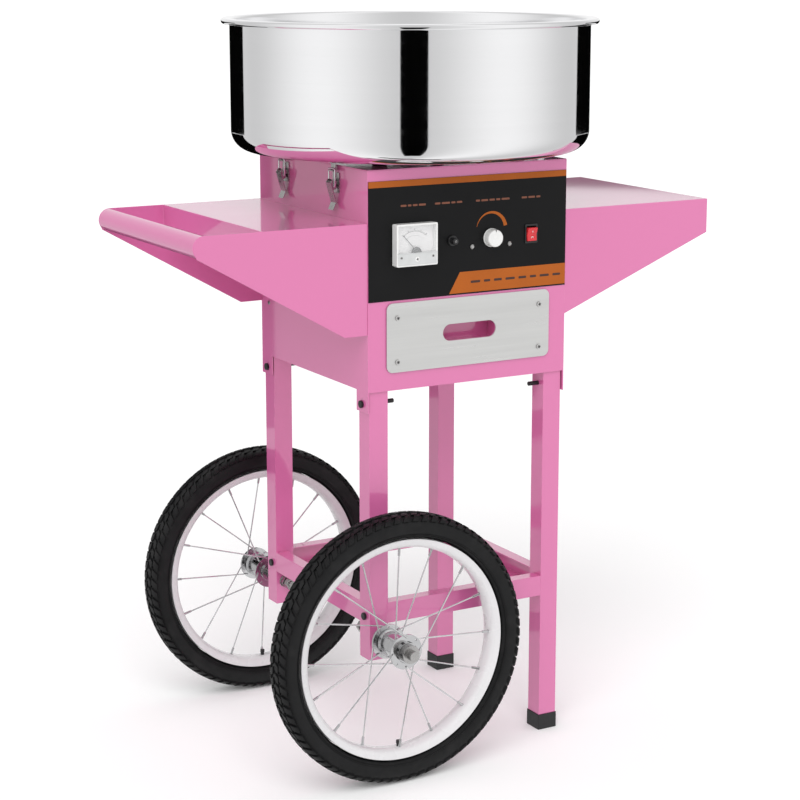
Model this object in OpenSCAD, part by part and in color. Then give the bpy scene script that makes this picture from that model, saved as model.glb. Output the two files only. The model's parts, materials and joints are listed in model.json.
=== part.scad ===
// Cotton candy machine on a two-wheeled cart, as an assembly of named pieces.
// X runs to the right, Y to the back and Z up, in millimetres. The floor is Z = 0.
// The control panel faces -Y. The push handle and the wheels are at the -X end.

/* [Housing] */
// Width of the sheet-metal housing, left to right
housing_width = 310; // [240:400]
// Depth of the housing, front to back
housing_depth = 320; // [240:400]
// Height of the housing's lower edge above the floor
housing_bottom = 525; // [400:650]
// Height of the housing from its lower edge to the deck
housing_height = 295; // [240:400]
// Thickness of the housing's sheet
sheet = 1.5; // [1:0.1:3]
// How far the four ears hang below the housing
ear_drop = 28; // [20:45]
// Width of one ear along the housing's side
ear_width = 32; // [20:60]

/* [Bowl] */
// Outside diameter of the bowl's rolled rim
rim_diameter = 520; // [400:700]
// Outside diameter of the bowl's wall
wall_diameter = 496.8; // [380:680]
// Height of the rim's top above the floor
rim_height = 1008.5; // [900:1200]
// Gap between the deck and the bowl's underside
bowl_gap = 8; // [7:20]
// Radius of the bowl's lower corner
bowl_corner = 28; // [10:60]
// Diameter of the bead rolled around the rim
bead = 8; // [4:14]
// Thickness of the bowl's sheet
bowl_sheet = 1.2; // [0.8:0.1:3]

/* [Spinner head] */
// Outside diameter of the spinner head
head_diameter = 140; // [90:200]
// Height of the head's underside above the floor
head_bottom = 850; // [845:900]
// Height of the perforated heating band
band_height = 42; // [20:70]
// Diameter of the filler hole in the head's lid
filler_hole = 40; // [20:60]
// Diameter of the spindle
spindle_diameter = 12; // [8:20]

/* [Control panel] */
// Width of the black control panel
panel_width = 308.6; // [200:400]
// Height of the panel's lower edge above the floor
panel_bottom = 646; // [600:700]
// Height of the panel's upper edge above the floor
panel_top = 805; // [700:815]
// Thickness of the panel
panel_thickness = 1; // [0.5:0.1:3]
// Height of the line that the controls sit on
control_line = 720; // [680:760]
// Width of the voltmeter's case
meter_width = 62; // [40:90]
// Height of the voltmeter's case
meter_height = 56; // [35:80]
// Sideways position of the voltmeter
meter_x = -87.5; // [-120:-60]
// Sideways position of the fuse holder
fuse_x = -27.5; // [-50:0]
// Sideways position of the heat knob
knob_x = 33.7; // [0:60]
// Diameter of the heat knob
knob_diameter = 25.2; // [15:40]
// Length of the heat knob
knob_length = 13; // [8:25]
// Sideways position of the power rocker
rocker_x = 97.5; // [70:130]

/* [Drawer] */
// Width of the drawer's front plate
drawer_front_width = 255.5; // [150:290]
// Height of the drawer's front plate
drawer_front_height = 93.4; // [50:115]
// Height of the front plate's middle above the floor
drawer_middle = 596; // [560:620]
// Length of the drawer's box
drawer_length = 258; // [120:290]
// Length of the finger slot
slot_length = 83; // [40:140]
// Height of the finger slot
slot_height = 22.6; // [15:40]

/* [Latches] */
// Half the distance between two latches on one side
latch_spacing = 75; // [40:120]
// Height of the lever's pivot above the floor
latch_pivot_z = 797; // [780:802]

/* [Trays] */
// Height of the tray tops above the floor
tray_top = 750.5; // [650:800]
// Half the depth of both trays
tray_half_depth = 159.5; // [100:160]
// Reach of the left tray's handle from the housing's middle
left_reach = 402; // [320:500]
// Position of the left plate's outer edge from the middle
left_plate_edge = 306; // [220:340]
// Radius of the rolled push handle
handle_radius = 16; // [10:25]
// Reach of the right tray from the housing's middle
right_reach = 398; // [300:500]

/* [Cart] */
// Outside size of the square leg tube
leg_size = 28; // [20:50]
// Wall of the leg tube
leg_wall = 1.5; // [1:0.1:3]
// Gap from the housing's side face to the leg
leg_inset_x = 3.3; // [1.5:0.1:10]
// Gap from the housing's front face to the leg
leg_inset_y = 2.8; // [0:0.1:10]
// Height of the wheel-side legs' lower ends
short_leg_bottom = 152; // [100:160]
// Height of the black foot caps
foot_cap_height = 22.8; // [10:40]
// Height of the rails' upper face above the floor
rail_top = 230.5; // [205:350]
// Height of a rail
rail_height = 29; // [25:50]
// Width of a rail's flanges
rail_depth = 18; // [12:26]
// Thickness of a rail's sheet
rail_sheet = 1.5; // [1:0.1:2]
// How far a frame bolt's end stands out of the leg under the housing
bolt_tail = 16; // [5:20]

/* [Wheels] */
// Outside diameter of the tyre
tyre_diameter = 371; // [300:420]
// Width of the tyre
tyre_width = 45; // [30:60]
// Outside diameter of the rim
rim_ring_diameter = 305; // [240:350]
// Width of the rim
rim_ring_width = 31; // [20:40]
// Distance from the cart's middle plane to the tyre's middle plane
wheel_y = 210.5; // [200:240]
// Diameter of the axle
axle_diameter = 10; // [8:12]
// Diameter of the hub's flanges
flange_diameter = 48; // [35:70]
// Spokes on each flange
spokes_per_flange = 8; // [4:2:16]
// Diameter of a spoke
spoke_diameter = 2.2; // [1.8:0.1:4]

/* [Hidden] */
$fn = 96;
pink = [0.92, 0.55, 0.74];
steel = [0.80, 0.81, 0.82];
dark = [0.10, 0.10, 0.11];
white = [0.93, 0.93, 0.93];
brass = [0.80, 0.62, 0.28];
zinc = [0.70, 0.71, 0.73];
red = [0.80, 0.08, 0.10];
body_x = (left_reach - right_reach) / 2;
hw = housing_width / 2;
hd = housing_depth / 2;
deck_z = housing_bottom + housing_height;
bowl_z = deck_z + bowl_gap;
leg_x = hw - leg_inset_x;
leg_y = hd - leg_inset_y;
leg_cx = leg_x - leg_size / 2;
leg_cy = leg_y - leg_size / 2;
ear_bolt_z = housing_bottom - 17.5;
rail_z = rail_top - rail_height;
rail_bolt_z = rail_top - 18.5;
axle_z = tyre_diameter / 2;
face_y = -hd - panel_thickness;
pivot_o = 8;
bail_o = 7.4;
bail_z = latch_pivot_z - 6;
hook_z = latch_pivot_z + 18;
meter_back = face_y - 4;
meter_front = face_y - 12;
needle_z = control_line - 7.5;
rocker_z = control_line + 1;
window_half = 28.6;
window_low = -10.6;
window_high = 25.6;
screw_reach = 29.6;
screw_drop = 10.5;
pad_reach = 108;
drawer_y = -hd - 0.4;
drawer_half = 117;
drawer_half_height = 40;
drawer_sheet = 1.2;
pocket_depth = 26;
pocket_margin = 4.2;
lever_half = 7.2;
lever_sheet = 1.3;
lever_lean = 7.8;
lever_bend = 27;
lever_length = 37;
motor_bottom = 664;
motor_length = 94;
mount_z = 760;
ring_z = [772, 784];
stud_angles = [30, 150, 270];
stud_reach = head_diameter / 2 - 11;
band_bottom = head_bottom + 6;
band_top = band_bottom + band_height;
rail_end = 2;
bolt_radius = 3;
spoke_circle = 20.5;
flange_y = [180.5, 229.5];

module placed() {
    translate([body_x, 0, 0])
        children();
}

// Box from one corner to the opposite one.
module block(a, b) {
    translate(a)
        cube(b - a);
}

// Cylinder along X, from x0 to x1.
module rod_x(x0, x1, r) {
    translate([x0, 0, 0])
        rotate([0, 90, 0])
            cylinder(h = x1 - x0, r = r);
}

// Cylinder along Y, from y0 to y1.
module rod_y(y0, y1, r) {
    translate([0, y0, 0])
        rotate([-90, 0, 0])
            cylinder(h = y1 - y0, r = r);
}

// Cylinder between two points.
module rod(a, b, r) {
    d = b - a;
    len = norm(d);
    translate(a)
        rotate([0, acos(d[2] / len), atan2(d[1], d[0])])
            cylinder(h = len, r = r);
}

// Rounded rectangle about the origin.
module round_rect(w, h, r) {
    square([w - 2 * r, h], center = true);
    square([w, h - 2 * r], center = true);
    for (x = [-1, 1])
        for (y = [-1, 1])
            translate([x * (w / 2 - r), y * (h / 2 - r)])
                circle(r = r);
}

// A drawing in X and Z, made solid from y0 to y1.
module plate_y(y0, y1) {
    translate([0, y1, 0])
        rotate([90, 0, 0])
            linear_extrude(height = y1 - y0)
                children();
}

// ---- housing ----

module panel_holes() {
    translate([meter_x, 0, control_line])
        rod_y(-hd - 5, -hd + 5, 22.4);
    translate([fuse_x, 0, control_line])
        rod_y(-hd - 5, -hd + 5, 6);
    translate([knob_x, 0, control_line])
        rod_y(-hd - 5, -hd + 5, 5.2);
    for (s = [-1, 1])
        translate([knob_x + s * screw_reach, 0, control_line - screw_drop])
            rod_y(-hd - 5, -hd + 5, 1.7);
    translate([rocker_x, -hd, rocker_z])
        cube([18, 10, 23.4], center = true);
}

module housing() color(pink) placed() difference() {
    union() {
        block([-hw, -hd, housing_bottom], [hw, hd, deck_z - sheet]);
        for (x = [-hw, hw - sheet])
            for (y = [-hd, hd - ear_width])
                block([x, y, housing_bottom - ear_drop], [x + sheet, y + ear_width, housing_bottom + 1]);
    }
    block([-hw + sheet, -hd + sheet, housing_bottom + sheet], [hw - sheet, hd - sheet, deck_z]);
    block([-drawer_half - 1.5, -hd - 1, drawer_middle - drawer_half_height - 3],
        [drawer_half + 1.5, -hd + 3, drawer_middle + drawer_half_height + 3]);
    panel_holes();
    for (y = [-leg_cy, leg_cy])
        translate([0, y, ear_bolt_z])
            rod_x(-hw - 1, hw + 1, 3.2);
    block([-105.5, hd - 3, 558.5], [-74.5, hd + 1, 581.5]);
    for (x = [-100:40:100])
        block([x - 4, -60, housing_bottom - 1], [x + 4, 60, housing_bottom + 3]);
}

module deck_plate() color(pink) placed() difference() {
    block([-hw, -hd, deck_z - sheet], [hw, hd, deck_z]);
    translate([0, 0, deck_z - 5])
        cylinder(h = 10, r = 24);
}

module bowl_pads() color(dark) placed() {
    for (x = [-pad_reach, pad_reach])
        for (y = [-pad_reach, pad_reach])
            translate([x, y, deck_z])
                cylinder(h = bowl_gap, r = 10);
}

module control_panel() color(dark) placed() difference() {
    block([-panel_width / 2, face_y, panel_bottom], [panel_width / 2, -hd, panel_top]);
    panel_holes();
}

// ---- controls ----

module voltmeter_case() color(white) placed() translate([meter_x, 0, control_line]) {
    difference() {
        plate_y(meter_front, face_y)
            round_rect(meter_width, meter_height, 2);
        block([-window_half, meter_front - 1, window_low], [window_half, meter_back, window_high]);
    }
    rod_y(face_y, -hd + 36, 22);
    translate([0, 0, needle_z - control_line])
        rod_y(meter_back - 3.6, meter_back, 0.6);
    translate([0, 0, -19])
        rod_y(meter_front - 0.6, meter_front, 3.4);
    for (s = [-1, 1])
        translate([s * 24, 0, -16])
            rod_y(meter_front - 0.4, meter_front, 1.5);
}

module voltmeter_window() color([0.85, 0.90, 0.92]) placed() translate([meter_x, 0, control_line]) {
    block([-window_half, meter_front, window_low], [window_half, meter_front + 1.2, window_high]);
}

module voltmeter_needle() color(dark) placed() translate([meter_x, 0, needle_z]) difference() {
    union() {
        rod_y(meter_back - 3.4, meter_back - 2.2, 2.2);
        rotate([0, -42, 0])
            block([-0.35, meter_back - 3.1, 1], [0.35, meter_back - 2.5, 27]);
    }
    rod_y(meter_back - 5, meter_back, 0.65);
}

module fuse_holder() color(dark) placed() translate([fuse_x, 0, control_line]) difference() {
    union() {
        rod_y(face_y - 3, face_y, 7);
        rod_y(face_y - 1, -hd + 34, 5.8);
    }
    rod_y(face_y - 4, -hd + 12, 3.05);
}

module fuse_cap() color(steel) placed() translate([fuse_x, 0, control_line]) {
    rod_y(face_y - 11, face_y - 3.4, 4.4);
    rod_y(face_y - 3.6, -hd + 11, 3);
}

module switch_bezel() color(dark) placed() translate([rocker_x, 0, rocker_z]) difference() {
    union() {
        plate_y(face_y - 1.5, face_y)
            round_rect(20, 26, 1.5);
        block([-8.7, face_y - 1, -11.4], [8.7, -hd + 14, 11.4]);
    }
    block([-7.9, face_y - 3, -10.6], [7.9, -hd + 12, 10.6]);
}

module power_rocker() color(red) placed() translate([rocker_x, -hd, rocker_z]) rotate([8, 0, 0])
    translate([-7.6, 0, 0])
        rotate([0, 0, 90])
            rotate([90, 0, 0])
                linear_extrude(height = 15.2)
                    polygon([[6, -7], [6, 7], [-3.5, 9.4], [-6.3, 9.1], [-4.3, 0], [-6.3, -9.1],
                        [-3.5, -9.4]]);

module heat_controller() color(dark) placed() translate([knob_x, 0, control_line]) difference() {
    union() {
        block([-34, -hd + sheet, -17], [34, -hd + sheet + 18, 17]);
        rod_y(face_y, -hd + sheet + 1, 5);
    }
    rod_y(face_y - 1, -hd + 15, 3.05);
    for (s = [-1, 1])
        translate([s * screw_reach, 0, -screw_drop])
            rod_y(face_y - 1, -hd + 12, 1.6);
}

module panel_screws() color(steel) placed() {
    for (s = [-1, 1])
        translate([knob_x + s * screw_reach, 0, control_line - screw_drop]) {
            rod_y(face_y - 1, face_y, 3.2);
            translate([0, face_y - 1, 0])
                rotate([90, 0, 0])
                    cylinder(h = 1.2, r1 = 3.2, r2 = 1.8);
            rod_y(face_y, -hd + 10, 1.5);
        }
}

module heat_knob() color(white) placed() translate([knob_x, 0, control_line]) difference() {
    union() {
        rod_y(face_y - 0.4 - knob_length, face_y - 0.4, knob_diameter / 2);
        rod_y(face_y - 0.5, -hd + 12, 3);
    }
    block([-0.5, face_y - 1 - knob_length, 3], [0.5, face_y + 0.2 - knob_length, 13]);
}

module power_inlet() color(dark) placed() translate([-90, 0, 570]) difference() {
    union() {
        plate_y(hd, hd + 3)
            round_rect(50, 28, 5);
        block([-15, hd - 20, -11], [15, hd + 1, 11]);
    }
    block([-12, hd - 15, -8], [12, hd + 4, 8]);
}

// ---- bowl ----

module bowl() color(steel) placed() rotate_extrude() {
    r = wall_diameter / 2;
    translate([30, bowl_z])
        square([r - bowl_corner - 30, bowl_sheet]);
    translate([30, bowl_z])
        square([bowl_sheet, 7]);
    translate([r - bowl_corner, bowl_z + bowl_corner])
        intersection() {
            difference() {
                circle(r = bowl_corner);
                circle(r = bowl_corner - bowl_sheet);
            }
            translate([0, -bowl_corner])
                square([bowl_corner, bowl_corner]);
        }
    translate([r - bowl_sheet, bowl_z + bowl_corner])
        square([bowl_sheet, rim_height - bowl_z - bowl_corner]);
    translate([r - bowl_sheet, rim_height - bowl_sheet])
        square([rim_diameter / 2 - bead / 2 - r + bowl_sheet, bowl_sheet]);
    translate([rim_diameter / 2 - bead / 2, rim_height - bead / 2])
        circle(r = bead / 2);
}

// ---- latches: local X is 0 on the housing's side and negative outwards ----

module latch_at(side, y) {
    mirror([side, 0, 0])
        translate([-hw, y, 0])
            children();
}

module bowl_keepers() color(steel) placed() {
    for (side = [0, 1])
        for (y = [-latch_spacing, latch_spacing])
            latch_at(side, y) {
                block([-5.5, -6, hook_z - 3.1], [-3.5, 6, bowl_z]);
                block([-10, -6, hook_z - 3.1], [-3.5, 6, hook_z - 1.4]);
                block([-5.5, -6, bowl_z - 1.8], [12, 6, bowl_z]);
            }
}

module latch_bases() color(zinc) placed() {
    for (side = [0, 1])
        for (y = [-latch_spacing, latch_spacing])
            latch_at(side, y) {
                block([-1.5, -9, latch_pivot_z - 14], [0, 9, latch_pivot_z + 13]);
                for (s = [-1, 1])
                    translate([0, s * 5.1 - 0.6, 0]) {
                        block([-pivot_o, 0, latch_pivot_z - 3], [-1, 1.2, latch_pivot_z + 1.5]);
                        translate([-pivot_o, 0, latch_pivot_z])
                            rod_y(0, 1.2, 3);
                    }
                translate([-pivot_o, 0, latch_pivot_z])
                    rod_y(-lever_half, lever_half, 1.5);
            }
}

// Side view of the lever's strap: it leans in towards the wall and turns out at its tip.
module lever_strap() {
    top = -pivot_o - 5.1;
    foot = top + lever_lean;
    polygon([[top, 0], [foot, -lever_bend], [foot - 4.5, 0.4 - lever_length], [foot - 3.3, -lever_length],
        [foot + lever_sheet, -lever_bend - 0.2], [top + lever_sheet, 0]]);
}

module lever_shape() {
    difference() {
        union() {
            plate_y(-lever_half, lever_half)
                translate([0, latch_pivot_z])
                    lever_strap();
            for (s = [-1, 1])
                translate([0, s * (lever_half - 0.6) - 0.6, 0]) {
                    plate_y(0, 1.2)
                        translate([0, latch_pivot_z])
                            polygon([[-12.7, 0], [-9.6, -10.7], [-6, -9], [-6, 0]]);
                    translate([-pivot_o, 0, latch_pivot_z])
                        rod_y(0, 1.2, 4.2);
                    translate([-bail_o, 0, bail_z])
                        rod_y(0, 1.2, 3.2);
                }
        }
        translate([-pivot_o, 0, latch_pivot_z])
            rod_y(-9, 9, 1.55);
        translate([-bail_o, 0, bail_z])
            rod_y(-9, 9, 1.05);
    }
}

module bail_shape() {
    for (s = [-1, 1]) {
        translate([-bail_o, s * 8.7, bail_z - 1.6])
            cylinder(h = hook_z - bail_z + 3.2, r = 1.1);
        translate([-bail_o, s * 7.3, bail_z])
            rod_y(-1.4, 1.4, 1);
    }
    translate([-bail_o, 0, hook_z])
        rod_y(-8.7, 8.7, 1);
}

module lever_front_left() color(zinc) placed() latch_at(0, -latch_spacing) lever_shape();
module lever_rear_left() color(zinc) placed() latch_at(0, latch_spacing) lever_shape();
module lever_front_right() color(zinc) placed() latch_at(1, -latch_spacing) lever_shape();
module lever_rear_right() color(zinc) placed() latch_at(1, latch_spacing) lever_shape();
module bail_front_left() color(steel) placed() latch_at(0, -latch_spacing) bail_shape();
module bail_rear_left() color(steel) placed() latch_at(0, latch_spacing) bail_shape();
module bail_front_right() color(steel) placed() latch_at(1, -latch_spacing) bail_shape();
module bail_rear_right() color(steel) placed() latch_at(1, latch_spacing) bail_shape();

// ---- drive ----

module motor() color([0.22, 0.23, 0.25]) placed() difference() {
    union() {
        translate([0, 0, motor_bottom])
            cylinder(h = motor_length, r = 48);
        translate([0, 0, mount_z - 3])
            cylinder(h = 3, r = 20);
        translate([0, 0, motor_bottom - 6])
            cylinder(h = 7, r = 16);
    }
    translate([0, 0, 715])
        cylinder(h = 60, r = spindle_diameter / 2 + 0.05);
}

module motor_mount() color(zinc) placed() difference() {
    union() {
        block([-75, -60, mount_z], [75, 60, mount_z + 3]);
        for (x = [-65, 65])
            for (y = [-50, 50])
                translate([x, y, mount_z + 3])
                    cylinder(h = deck_z - sheet - mount_z - 3, r = 4);
    }
    translate([0, 0, mount_z - 5])
        cylinder(h = 12, r = 14);
}

module brush_holder() color([0.35, 0.20, 0.12]) placed() difference() {
    block([28, -12, mount_z + 3], [42, 12, mount_z + 36]);
    for (z = ring_z)
        block([27, -4.1, z - 0.6], [43, 4.1, z + 5.6]);
}

module carbon_brushes() color(dark) placed() {
    for (z = ring_z)
        block([18.4, -4.1, z - 0.6], [44, 4.1, z + 5.6]);
}

module spindle() color(steel) placed() {
    translate([0, 0, 722])
        cylinder(h = head_bottom + 12 - 722, r = spindle_diameter / 2);
    translate([0, 0, 768])
        cylinder(h = 26, r = 12);
}

module slip_rings() color(brass) placed() {
    for (z = ring_z)
        translate([0, 0, z])
            difference() {
                cylinder(h = 5, r = 18);
                translate([0, 0, -1])
                    cylinder(h = 7, r = 12);
            }
}

module head_base() color([0.75, 0.76, 0.78]) placed() difference() {
    union() {
        translate([0, 0, head_bottom])
            cylinder(h = 6, r = head_diameter / 2);
        translate([0, 0, head_bottom - 12])
            cylinder(h = 24, r = 13);
        for (a = stud_angles)
            rotate([0, 0, a])
                translate([stud_reach, 0, head_bottom + 5])
                    cylinder(h = band_height + 1, r = 3);
    }
    translate([0, 0, head_bottom - 20])
        cylinder(h = 60, r = spindle_diameter / 2);
}

module heating_band() color([0.62, 0.60, 0.58]) placed() difference() {
    translate([0, 0, band_bottom])
        cylinder(h = band_height, r = head_diameter / 2 - 3);
    translate([0, 0, band_bottom - 1])
        cylinder(h = band_height + 2, r = head_diameter / 2 - 4.5);
    for (a = [0:15:359])
        rotate([0, 0, a])
            block([50, -1.2, head_bottom + 13], [80, 1.2, head_bottom + band_height - 1]);
}

module head_lid() color([0.75, 0.76, 0.78]) placed() difference() {
    union() {
        translate([0, 0, band_top])
            cylinder(h = 4, r = head_diameter / 2);
        translate([0, 0, band_top])
            cylinder(h = 10, r = filler_hole / 2 + 2);
        for (a = stud_angles)
            rotate([0, 0, a])
                translate([stud_reach, 0, band_top + 3])
                    cylinder(h = 3.5, r = 4);
    }
    translate([0, 0, band_top - 6])
        cylinder(h = 30, r = filler_hole / 2);
}

// ---- drawer ----

module finger_slot(y0, y1) {
    plate_y(y0, y1)
        translate([0, drawer_middle])
            round_rect(slot_length, slot_height, slot_height / 2 - 0.01);
}

module drawer_front() color(steel) placed() {
    difference() {
        plate_y(-hd - 2.4, -hd - 0.4)
            translate([0, drawer_middle])
                round_rect(drawer_front_width, drawer_front_height, 9);
        finger_slot(-hd - 5, -hd + 5);
    }
    for (x = [-111.3, 111.3])
        for (z = [drawer_middle - 32.7, drawer_middle + 26.6])
            translate([x, 0, z])
                rod_y(-hd - 4, -hd - 2.4, 3.6);
}

module drawer_tray() color(pink) placed() difference() {
    union() {
        difference() {
            block([-drawer_half, drawer_y, drawer_middle - drawer_half_height],
                [drawer_half, drawer_y + drawer_length, drawer_middle + drawer_half_height]);
            block([-drawer_half + drawer_sheet, drawer_y + drawer_sheet,
                    drawer_middle - drawer_half_height + drawer_sheet],
                [drawer_half - drawer_sheet, drawer_y + drawer_length - drawer_sheet,
                    drawer_middle + drawer_half_height + 1]);
        }
        finger_pocket(0);
    }
    finger_pocket(drawer_sheet);
    finger_slot(-hd - 5, -hd + 5);
}

// Box behind the finger slot, made smaller on every side by inset.
module finger_pocket(inset) {
    w = slot_length / 2 + pocket_margin - inset;
    h = slot_height / 2 + pocket_margin - inset;
    block([-w, drawer_y + inset, drawer_middle - h],
        [w, drawer_y + pocket_depth - inset, drawer_middle + h]);
}

module drawer_runners() color(zinc) placed() {
    z = drawer_middle - drawer_half_height;
    for (s = [0, 1])
        mirror([s, 0, 0]) {
            block([119, -hd + 1.8, housing_bottom + sheet], [120.5, 112, drawer_middle + 42.5]);
            block([98, -hd + 1.8, z - 1.9], [119.5, 112, z - 0.4]);
            block([111, -hd + 1.8, drawer_middle + 41], [119.5, 112, drawer_middle + 42.5]);
            block([119, -hd + 1.8, housing_bottom + sheet], [132, 112, housing_bottom + sheet + 1.5]);
        }
}

// ---- trays ----

module left_outline() {
    polygon([[-hw, 602.5], [-hw - 33.7, 602.5], [-left_reach + 4.5, tray_top - 29],
        [-left_reach, tray_top - handle_radius], [-left_reach + handle_radius, tray_top], [-hw, tray_top]]);
    translate([-left_reach + handle_radius, tray_top - handle_radius])
        circle(r = handle_radius);
}

module left_tray() color(pink) placed() {
    d = tray_half_depth;
    plate_y(-d, -d + sheet)
        left_outline();
    plate_y(d - sheet, d)
        left_outline();
    block([-left_plate_edge, -d + 1, tray_top - sheet], [-hw, d - 1, tray_top]);
    block([-left_plate_edge, -d + 1, tray_top - 28], [-left_plate_edge + sheet, d - 1, tray_top - 1]);
    block([-hw - sheet, -d + 1, tray_top - 16], [-hw, d - 1, tray_top - 1]);
}

module push_handle() color(pink) placed()
    plate_y(-tray_half_depth + sheet, tray_half_depth - sheet)
        translate([-left_reach + handle_radius, tray_top - handle_radius])
            difference() {
                circle(r = handle_radius);
                circle(r = handle_radius - sheet);
                polygon([[0, 0], [-2.6, 30], [30, 30], [30, -30], [-18, -24]]);
            }

module right_outline() {
    polygon([[hw, 605], [hw, tray_top], [right_reach, tray_top], [right_reach, tray_top - 48]]);
}

module right_tray() color(pink) placed() {
    d = tray_half_depth;
    plate_y(-d, -d + sheet)
        right_outline();
    plate_y(d - sheet, d)
        right_outline();
    block([hw, -d + 1, tray_top - sheet], [right_reach, d - 1, tray_top]);
    block([right_reach - sheet, -d + 1, tray_top - 48], [right_reach, d - 1, tray_top - 1]);
    block([hw, -d + 1, tray_top - 16], [hw + sheet, d - 1, tray_top - 1]);
}

// ---- cart frame ----

module leg(sx, sy, bottom) {
    difference() {
        translate([sx * leg_cx, sy * leg_cy, (bottom + housing_bottom) / 2])
            difference() {
                cube([leg_size, leg_size, housing_bottom - bottom], center = true);
                cube([leg_size - 2 * leg_wall, leg_size - 2 * leg_wall, 600], center = true);
            }
        translate([sx * leg_cx, sy * leg_cy, ear_bolt_z])
            rod_x(-20, 20, 3.2);
        translate([sx * leg_cx, sy * leg_cy, rail_bolt_z])
            rod_x(-20, 20, 3.2);
        if (sx < 0)
            translate([sx * leg_cx, sy * leg_cy, axle_z])
                rod_y(-20, 20, axle_diameter / 2 + 0.2);
    }
}

module front_left_leg() color(pink) placed() leg(-1, -1, short_leg_bottom);
module rear_left_leg() color(pink) placed() leg(-1, 1, short_leg_bottom);
module front_right_leg() color(pink) placed() leg(1, -1, 3);
module rear_right_leg() color(pink) placed() leg(1, 1, 3);

module foot_caps() color(dark) placed() {
    for (s = [-1, 1])
        translate([leg_cx, s * leg_cy, 0])
            difference() {
                translate([-leg_size / 2 - 1.2, -leg_size / 2 - 1.2, 0])
                    cube([leg_size + 2.4, leg_size + 2.4, foot_cap_height]);
                translate([-leg_size / 2, -leg_size / 2, 3])
                    cube([leg_size, leg_size, foot_cap_height]);
            }
}

// Channel that is open to the inside of the cart, with a wall at each end.
module cross_rail(s) {
    x = leg_x - leg_size;
    mirror([0, s, 0])
        difference() {
            block([-x, -leg_y, rail_z], [x, -leg_y + rail_depth, rail_top]);
            block([-x + rail_end, -leg_y + rail_sheet, rail_z + rail_sheet],
                [x - rail_end, -leg_y + rail_depth + 1, rail_top - rail_sheet]);
            translate([0, -leg_cy, rail_bolt_z])
                rod_x(-x - 1, x + 1, 3.2);
        }
}

module side_rail(s) {
    y = leg_y - leg_size;
    mirror([s, 0, 0])
        difference() {
            block([-leg_x, -y, rail_z], [-leg_x + rail_depth, y, rail_top]);
            block([-leg_x + rail_sheet, -y + rail_end, rail_z + rail_sheet],
                [-leg_x + rail_depth + 1, y - rail_end, rail_top - rail_sheet]);
        }
}

module front_rail() color(pink) placed() cross_rail(0);
module rear_rail() color(pink) placed() cross_rail(1);
module left_rail() color(pink) placed() side_rail(0);
module right_rail() color(pink) placed() side_rail(1);

// Bolt along X, given as distances from the middle: under its head, its end, and its nut's outer face.
module bolt(head_x, end_x, nut_x) {
    rod_x(-head_x - 3.5, -head_x, 5.2);
    rod_x(-head_x - 0.1, -end_x, bolt_radius);
    rod_x(-nut_x, -nut_x + 4, 5.5);
}

module frame_bolts() color(dark) placed() {
    inner = leg_x - leg_size;
    for (s = [0, 1])
        mirror([s, 0, 0])
            for (y = [-leg_cy, leg_cy]) {
                translate([0, y, ear_bolt_z]) {
                    bolt(hw, inner - bolt_tail, inner + leg_wall + 4);
                    difference() {
                        rod_x(-hw + sheet, -leg_x, 7);
                        rod_x(-hw, -leg_x + 1, bolt_radius - 0.1);
                    }
                }
                translate([0, y, rail_bolt_z])
                    bolt(leg_x, inner - rail_end - 6, inner - rail_end);
            }
}

// ---- wheels: the drawing's second axis is the distance outwards from the cart's middle ----

module turned(side) {
    mirror([0, side, 0])
        translate([-leg_cx, 0, axle_z])
            rotate([90, 0, 0])
                rotate_extrude()
                    children();
}

module tyre_section() {
    rr = rim_ring_diameter / 2;
    rt = tyre_diameter / 2;
    translate([rr - 10.9, wheel_y - rim_ring_width / 2 + 1.6])
        square([14, rim_ring_width - 3.2]);
    translate([(rr + 0.2 + rt) / 2, wheel_y])
        round_rect(rt - rr - 0.2, tyre_width, 12);
}

module rim_section() {
    rr = rim_ring_diameter / 2;
    translate([rr - 13, wheel_y - rim_ring_width / 2])
        square([2, rim_ring_width]);
    for (y = [wheel_y - rim_ring_width / 2, wheel_y + rim_ring_width / 2 - 1.5])
        translate([rr - 13, y])
            square([13, 1.5]);
}

module hub_section() {
    b = axle_diameter / 2 + 0.05;
    translate([b, 177])
        square([14 - b, 59]);
    translate([b, flange_y[0]])
        square([15.5 - b, flange_y[1] - flange_y[0] + 3]);
    for (y = flange_y)
        translate([b, y])
            square([flange_diameter / 2 - b, 3]);
}

module hub(side) {
    difference() {
        turned(side)
            hub_section();
        mirror([0, side, 0])
            translate([-leg_cx, 0, axle_z])
                for (k = [0:spokes_per_flange - 1])
                    rotate([0, k * 360 / spokes_per_flange, 0])
                        translate([spoke_circle, 0, 0])
                            rod_y(-240, -175, 1.4);
    }
}

// One spoke: from the hub at angle a to the rim at angle b.
module spoke(a, b, w1, w2) {
    rr = rim_ring_diameter / 2 - 12.4;
    p = [spoke_circle * cos(a), -w1, spoke_circle * sin(a)];
    q = [rr * cos(b), -w2, rr * sin(b)];
    rod(p, q, spoke_diameter / 2);
    rod(q + 0.09 * (p - q), q, 1.8);
    translate(p)
        sphere(r = spoke_diameter / 2);
}

module spokes(side) {
    step = 360 / spokes_per_flange;
    mirror([0, side, 0])
        translate([-leg_cx, 0, axle_z])
            for (k = [0:spokes_per_flange - 1]) {
                odd = k % 2;
                turn = odd ? -step : step;
                spoke(k * step, k * step + turn, odd ? 228.4 : 233.6, wheel_y + 3);
                spoke(k * step, k * step + turn + step / 2, odd ? 184.6 : 179.4, wheel_y - 3);
            }
}

module front_tyre() color(dark) placed() turned(0) tyre_section();
module front_rim() color(white) placed() turned(0) rim_section();
module front_spokes() color(steel) placed() spokes(0);
module front_hub() color(steel) placed() hub(0);
module rear_tyre() color(dark) placed() turned(1) tyre_section();
module rear_rim() color(white) placed() turned(1) rim_section();
module rear_spokes() color(steel) placed() spokes(1);
module rear_hub() color(steel) placed() hub(1);

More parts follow.
